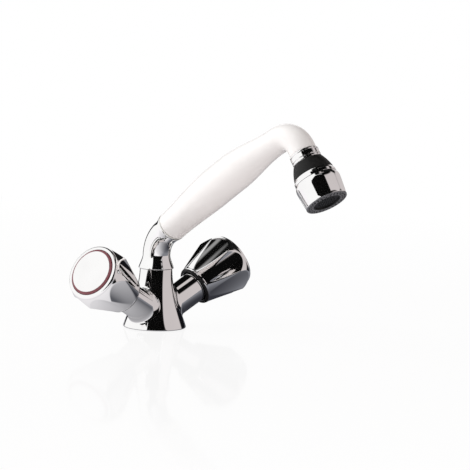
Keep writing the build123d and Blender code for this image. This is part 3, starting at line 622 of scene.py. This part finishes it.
# The dark satin band is a thin skin round the dome.
band = [(r - 0.02, h) for r, h in dome[1:-1]] + [(r + 0.14, h) for r, h in reversed(dome[1:-1])]
piece("cone_band", spun("cone_band", neck, band, 168), "hand_spray", "rubber")

drum_r, drum_end_r, drum_round_at, drum_taper_end = 17.8, 16.4, 28.2, 42.2
drum = [(16.6, 23.72), (16.75, 23.8)] + [(16.8 + 0.08 * k, 23.9 + 0.18 * k) for k in range(1, 11)]
drum += arc3((17.64, 25.85), (17.75, 26.6), (drum_r, drum_round_at), 8)
taper_r, taper_h = drum_end_r - drum_r, drum_taper_end - drum_round_at
drum += [(drum_r + taper_r * k / 8, drum_round_at + taper_h * k / 8) for k in range(1, 9)]
drum += rounded(
    (16.5, 41.5, 0), (drum_end_r, 42.7, 0.3), (15.3, 42.7, 0.2), (15.3, 28, 0), (10.05, 28, 0),
    (10.05, 25, 0), (15.3, 25, 0), (15.3, 23.7, 0)
)[1:]
piece("drum", spun("drum", neck, drum, 200), "selector", "chrome", ("selector_drum",))

face = rounded(
    (10.95, 43.3, 0.15), (12.0, 43.3, 0), (13.2, 43.3, 0), (15.6, 43.3, 0), (16.25, face_at, 0.3),
    (16.25, 42.75, 0), (15.2, 42.75, 0), (15.2, 41.1, 0), (11.6, 41.1, 0), (11.6, 34.4, 0),
    (10.05, 34.4, 0), (10.05, 38.6, 0), (10.95, 38.6, 0), (10.95, 43.3, 0),
)[:-1]
piece("face_plate", spun("face_plate", neck, face, 168), "selector", "face_grey", ("spray_face",))


def nub(r, proud):
    """Outline of one soft nozzle, standing on the grey face, in mm."""
    return [(r * 1.35, -0.1), (r * 1.3, 0.02), (r * 1.05, 0.1), (r, proud - 0.12),
            (r * 0.85, proud), (r * 0.5, proud), (r * 0.42, proud - 0.1), (r * 0.4, -0.1)]


nubs = []
for ring_r, count, turn in ((14.4, 32, 0.5), (12.7, 24, 0.0)):
    for k in range(count):
        a = 2 * math.pi * (k + turn) / count
        spot = Vector((ring_r * math.cos(a), ring_r * math.sin(a), face_at)) * MM
        nubs.append(spun("nub", neck @ Matrix.Translation(spot), nub(0.5, 0.35), 12))
piece("nozzle_nubs", merged("nozzle_nubs", nubs), "selector", "aerator_black", (), 40)

housing = rounded(
    (10.85, 38.7, 0), (10.85, 43.5, 0.2), (9.75, 43.5, 0.25), (9.55, 42.6, 0.1), (9.55, 38.7, 0)
)
piece("aerator_rim", spun("aerator_rim", neck, housing, 128), "selector", "aerator_black",
      ("aerator_housing",))

# ------------------------------------------------------------------ knobs
root_r, root_at, rim_r, rim_at, face_r, knob_face_at = 16.4, 46.2, 25.6, 75.0, 20.8, 86.8
shoulder_r, shoulder_at, mouth_edge_r, mouth_at = 22.4, 84.8, 14.9, 43.6
lobes, flute_turn, flute_cut, flute_foot, flute_top = 8, 24.0, 22.0, 16.15, 21.6
crest = 0.35  # how softly a flute meets the next
lobe_step = 360.0 / lobes
flute_lean = math.atan((flute_top - flute_foot) / (rim_at - root_at))
shoulder = bulged((rim_r, rim_at), (shoulder_r, shoulder_at), 0.45, 28)
brow = bulged((shoulder_r, shoulder_at), (face_r, knob_face_at), 0.35, 12, 0.35)
roll = bulged((mouth_edge_r, mouth_at), (root_r, root_at), 0.31, 8, -0.16)


def smooth_min(a, b, k):
    """The smaller of two values, rounded off where they meet."""
    h = min(max(0.5 + 0.5 * (b - a) / k, 0.0), 1.0)
    return b * (1 - h) + a * h - k * h * (1 - h)


def flute_r(phi, h):
    """Radius of the flute's floor in a direction phi from the flute's middle."""
    a, b = flute_cut / math.cos(flute_lean), flute_cut
    c = flute_foot + (h - root_at) * math.tan(flute_lean) + a
    p = (math.cos(phi) / a) ** 2 + (math.sin(phi) / b) ** 2
    q = -2 * c * math.cos(phi) / a**2
    s = c * c / a**2 - 1
    disc = q * q - 4 * p * s
    return None if disc < 0 else (-q - math.sqrt(disc)) / (2 * p)


def knob_columns(per_lobe=44, crowd=0.62):
    """Angles round the knob, closer together at the crests between the flutes."""
    shares = []
    for k in range(per_lobe):
        t = k / per_lobe
        shares.append(t + crowd * math.sin(2 * math.pi * t) / (2 * math.pi))
    return [
        rad(flute_turn + lobe_step * k + lobe_step * share)
        for k in range(lobes)
        for share in shares
    ]


def knob_mesh(name, at):
    """A hollow fluted knob: the mouth, the fluted cone, the shoulder and the seat of
    the ring, in rings from the inside of the mouth round to it again."""
    cone = [(root_r, root_at)]
    cone += [(root_r + (rim_r - root_r) * (h - root_at) / (rim_at - root_at), h)
             for h in np.linspace(46.5, 74.6, 40)]
    cone += [(25.53, 74.8)] + shoulder[1:] + brow[1:]
    columns = knob_columns()
    step = 2 * math.pi / lobes
    rings = []
    for cone_r, h in cone:
        ring = []
        for a in columns:
            phi = a - rad(flute_turn) - round((a - rad(flute_turn)) / step) * step
            r = cone_r
            for floor_r in (flute_r(phi, h), flute_r(phi - step, h), flute_r(phi + step, h)):
                if floor_r is not None:
                    r = smooth_min(r, floor_r, crest)
            ring += circle(at, r, h, [a])
        rings.append(ring)

    mouth = [(13.3, 52.1), (13.3, 43.8), (13.5, mouth_at)] + roll[:-1]
    seat = rounded(
        (20.9, knob_face_at, 0), (20.55, knob_face_at, 0), (19.05, knob_face_at, 0.25),
        (19.05, 83.8, 0), (8, 83.8, 0)
    )[1:]
    hollow = [(7.4, 83.8), (7.4, 80), (17.4, 79.5), (17.4, 70), (13.3, 52.1)]
    below = [circle(at, r, h, columns) for r, h in mouth]
    above = [circle(at, r, h, columns) for r, h in seat + hollow]
    return rings_mesh(name, below + rings + above, loop=True)


ring_line = rounded(
    (16.6, 84.0, 0), (16.6, 88.0, 0.1), (17.0, 87.95, 0), (18.6, 87.3, 0.15), (18.8, 86.9, 0.1),
    (19.0, 84.0, 0)
)
disc_r, disc_rise, disc_at = 16.55, 0.7, 88.3
dome_r = (disc_r**2 + disc_rise**2) / (2 * disc_rise)
disc_top = [
    (dome_r * math.sin(t), disc_at + disc_rise - dome_r * (1 - math.cos(t)))
    for t in (math.asin(16.3 / dome_r) * k / 14 for k in range(15))
]
disc = [(0.0, 84.2)] + disc_top + [(17.0, 88.2), (17.05, 88.02), (disc_r, 87.9), (disc_r, 84.2)]
# The dark line round a knob's mouth is painted shade: a thin skin of the black rubber finish on the lower part of
# its roll.
line_end = 45.0
line_out = [(r + 0.08, h - 0.1) for r, h in roll if h < line_end]
mouth_shade_line = [(13.5, 43.75), (13.5, 43.5)] + line_out
mouth_shade_line += [(line_out[-1][0] - 0.2, line_out[-1][1]), (14.8, 43.8)]
for side, at in arms.items():
    body = f"{side}_handle"
    ring_slot = "ring_red" if side == "hot" else "ring_blue"
    piece(f"{side}_knob_skin", knob_mesh(f"{side}_knob_skin", at), body, "chrome",
          (f"{side}_knob",), 40)
    piece(f"{side}_ring", spun(f"{side}_ring", at, ring_line), body, ring_slot,
          (f"{side}_index_ring",))
    # the skin at the mouth is painted shade, in the black rubber finish
    piece(f"{side}_mouth_shade_skin", spun(f"{side}_mouth_shade_skin", at, mouth_shade_line), body, "rubber")
    piece(f"{side}_disc", spun(f"{side}_disc", at, disc, loop=False), body, "chrome",
          (f"{side}_index_cap",))

# ------------------------------------------------------------------ surroundings
# Towards the camera and to its right, both level. Turns are counted from the first,
# so that left is negative.
flat_eye = Vector((eye.x, eye.y, 0)).normalized()
flat_right = Vector((-flat_eye.y, flat_eye.x, 0))


def world_picture():
    """White round the object for the camera, plain soft light on it, and cards of a
    photo studio for metal to mirror, placed by turn and height in degrees."""
    world = bpy.data.worlds.new("studio")
    bpy.context.scene.world = world
    world.use_nodes = True
    tree = world.node_tree
    coords = tree.nodes.new("ShaderNodeTexCoord")

    def dot(v):
        """How far the view direction points along another one."""
        return measured(tree, "DOT_PRODUCT", coords.outputs["Generated"], v)

    def step(value, at, soft):
        """A soft rise from 0 to 1 round a value, or a fall where soft is negative."""
        return spread(tree, value, at - soft, at + soft, soft=True)

    def between(value, low, high, soft):
        """1 between two values, and 0 outside them."""
        return maths(tree, "SUBTRACT", step(value, low, soft), step(value, high, soft))

    def times(a, b):
        return maths(tree, "MULTIPLY", a, b)

    to_degrees = 180 / math.pi
    turn = times(maths(tree, "ARCTAN2", dot(flat_right), dot(flat_eye)), to_degrees)
    height = times(maths(tree, "ARCSINE", dot((0, 0, 1))), to_degrees)
    lean = maths(tree, "ADD", turn, times(height, 0.3))
    slant = maths(tree, "ADD", height, times(turn, 0.42))
    below_slant = maths(tree, "SUBTRACT", 1.0, step(slant, 68, 2))
    left_side = step(dot(Matrix.Rotation(rad(-75), 3, "Z") @ flat_eye), 0.37, 0.03)
    far_behind = step(maths(tree, "ABSOLUTE", turn), 165, 2)
    cards = [
        # warm grey on the right
        ((0.60, 0.555, 0.555), times(between(lean, 50, 176, 2.0), between(height, -60, 50, 4))),
        # dark behind that, high and low
        ((0.01, 0.01, 0.01), times(step(turn, 112, 6), step(height, 30, 4))),
        ((0.006, 0.006, 0.008), times(step(turn, 119, 3), below_slant)),
        # white wall on the left, and white straight behind
        ((1.0, 1.0, 1.0), times(left_side, step(turn, -12, -1.5))),
        ((1.0, 1.0, 1.0), times(far_behind, between(height, -12, 32, 4))),
        # grey strip high in front, and a light overhead
        ((0.30, 0.30, 0.30), times(between(turn, -75, 20, 5), between(height, 61, 69, 2))),
        ((0.62, 0.58, 0.57), step(height, 80, 1.5)),
    ]
    shown = (0.003, 0.003, 0.003)
    for colour, share in cards:
        shown = blended(tree, share, shown, colour)

    rays = tree.nodes.new("ShaderNodeLightPath")
    side_share = spread(tree, dot(flat_right), -0.8, 0.8)
    light_colour = blended(tree, side_share, (1.0, 1.0, 1.0), (0.5, 0.44, 0.42))
    light = tree.nodes["Background"]
    mirrored, seen = (tree.nodes.new("ShaderNodeBackground") for _ in range(2))
    tree.links.new(light_colour, light.inputs["Color"])
    tree.links.new(shown, mirrored.inputs["Color"])
    seen.inputs["Color"].default_value = (1, 1, 1, 1)
    surface = layered(tree, rays.outputs["Is Glossy Ray"], light.outputs[0], mirrored.outputs[0])
    surface = layered(tree, rays.outputs["Is Camera Ray"], surface, seen.outputs[0])
    tree.links.new(surface, tree.nodes["World Output"].inputs["Surface"])


def flat_disc(name, z, radii):
    """A round level surface under the object, in metres, outside the part."""
    rings = [[Vector((r * math.cos(a), r * math.sin(a), z)) for a in angles_of(96)] for r in radii]
    ob = placed(name, rings_mesh(name, rings + [[Vector((0, 0, z))]]))
    return ob


def matt(bsdf, colour, roughness):
    """Makes a shader a plain surface without a shine."""
    bsdf.inputs["Base Color"].default_value = (*colour, 1)
    bsdf.inputs["Roughness"].default_value = roughness
    bsdf.inputs["Specular IOR Level"].default_value = 0.0


def white_floor():
    """A white floor that keeps a faint shadow and mirror image of the object, both gone
    further out, where it can't be told from the white round it."""
    near, far = 0.3, 0.9
    mirror_share, white_share = 0.07, 0.96
    floor = flat_disc("floor", -0.0005, (6.0, 0.6, 0.1))
    floor.visible_glossy = False
    mat, tree, bsdf = shader("floor_white")
    matt(bsdf, (0.98, 0.95, 0.95), 0.9)
    rays = tree.nodes.new("ShaderNodeLightPath")
    coords = tree.nodes.new("ShaderNodeTexCoord")
    sheen = tree.nodes.new("ShaderNodeBsdfGlossy")
    sheen.inputs["Roughness"].default_value = 0.06
    out = measured(tree, "LENGTH", coords.outputs["Object"])
    mirroring = spread(tree, out, near, far, mirror_share, 0.0)
    whitening = spread(tree, out, near, far, white_share, 1.0)
    white = layered(tree, mirroring, glowing(tree), sheen.outputs[0])
    share = maths(tree, "MULTIPLY", rays.outputs["Is Camera Ray"], whitening)
    surface = layered(tree, share, bsdf.outputs[0], white)
    tree.links.new(surface, tree.nodes["Material Output"].inputs["Surface"])
    floor.data.materials.append(mat)


def painted_table_glow():
    """A glowing disc that only metal mirrors, in place of the table: painted light on the left,
    painted shade darker towards the right, and a painted shadow under the cold knob."""
    table = flat_disc("table", -0.0008, (0.34, 0.1))
    table.visible_camera = table.visible_diffuse = table.visible_shadow = False
    mat, tree, _ = shader("painted_table_glow")
    coords = tree.nodes.new("ShaderNodeTexCoord").outputs["Object"]
    across = measured(tree, "DOT_PRODUCT", coords, flat_right * 0.8 - flat_eye * 0.6)
    away = measured(tree, "DISTANCE", coords, (0.062, -0.006, 0.0))
    # painted light, painted shade and the painted shadow of the object, all glowing for the metal to mirror
    light, dark, shadow = (1.0, 0.98, 1.0), (0.22, 0.225, 0.25), (0.035, 0.036, 0.045)
    painted_lit_table = blended(tree, spread(tree, across, -0.125, 0.05), light, dark)
    shaded = blended(tree, spread(tree, away, 0.02, 0.12), shadow, painted_lit_table)
    tree.links.new(glowing(tree, shaded), tree.nodes["Material Output"].inputs["Surface"])
    table.data.materials.append(mat)


def black_card():
    """A tall black card beside the camera, which only metal sees."""
    edges = [flat_eye * 0.768 - flat_right * 0.408, flat_eye * 0.70 + flat_right * 0.49]
    low, high = Vector((0, 0, -0.4)), Vector((0, 0, 1.25))
    corners = [edges[0] + low, edges[1] + low, edges[1] + high, edges[0] + high]
    me = bpy.data.meshes.new("black_card")
    me.from_pydata(corners, [], [(0, 1, 2, 3)])
    ob = placed("black_card", me)
    ob.visible_camera = ob.visible_diffuse = ob.visible_shadow = False
    mat, _, bsdf = shader("black_card")
    matt(bsdf, (0.003, 0.003, 0.003), 1.0)
    me.materials.append(mat)


def key_lamp():
    """A broad lamp on the left, which the metal doesn't mirror."""
    middle = Vector((0, -0.08, 0.09))
    lamp = bpy.data.lights.new("key", "AREA")
    lamp.shape, lamp.size, lamp.energy = "DISK", 0.9, 9.3
    ob = placed("key", lamp)
    ob.location = middle + flat_right * -1.15 - flat_eye * 0.15 + Vector((0, 0, 0.7))
    ob.rotation_euler = (middle - ob.location).to_track_quat("-Z", "Y").to_euler()
    ob.visible_glossy = False


world_picture()
white_floor()
painted_table_glow()
black_card()
key_lamp()
